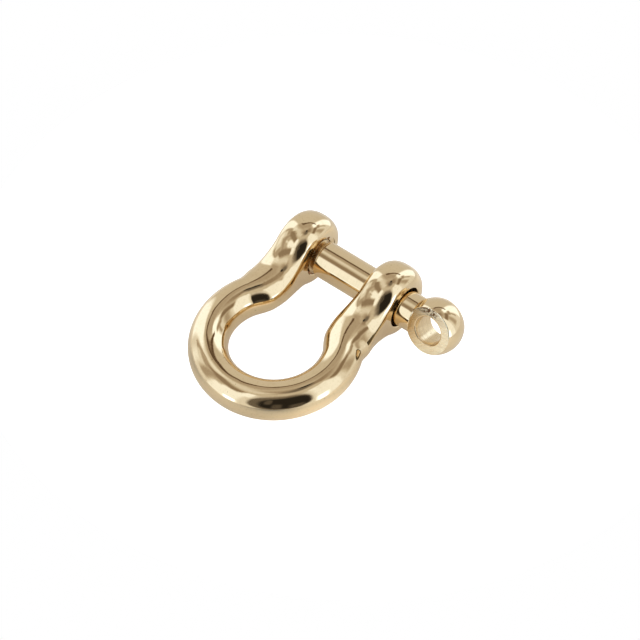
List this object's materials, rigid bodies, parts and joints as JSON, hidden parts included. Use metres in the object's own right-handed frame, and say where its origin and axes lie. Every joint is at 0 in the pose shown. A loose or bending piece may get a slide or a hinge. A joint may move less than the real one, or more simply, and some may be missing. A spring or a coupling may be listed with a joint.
{
  "type": "bow shackle",
  "caption": "Polished bow shackle: round bar bent to a wide bow, two round ears, and a removable screw pin whose flatted ball head has a cross-hole.",
  "frame": {"origin": "on the pin's axis, halfway between the two ears", "axes": "+X along the pin towards its ball head, +Y from the bow's crown towards the pin, +Z square to the plane of the bow"},
  "size_m": [0.0299, 0.0312, 0.01],
  "materials": {
    "polished_bow": "mirror polished, light gold",
    "turned_pin": "turned and polished, fine lathe marks, light gold"
  },
  "bodies": {
    "bow": {"shackle_body": "polished_bow"},
    "pin": {"screw_pin": "turned_pin"}
  },
  "joints": [
    {"name": "pin_travel", "type": "slide", "parent": "bow", "child": "pin", "axis": [1, 0, 0], "range_m": [0, 0.022]}
  ]
}
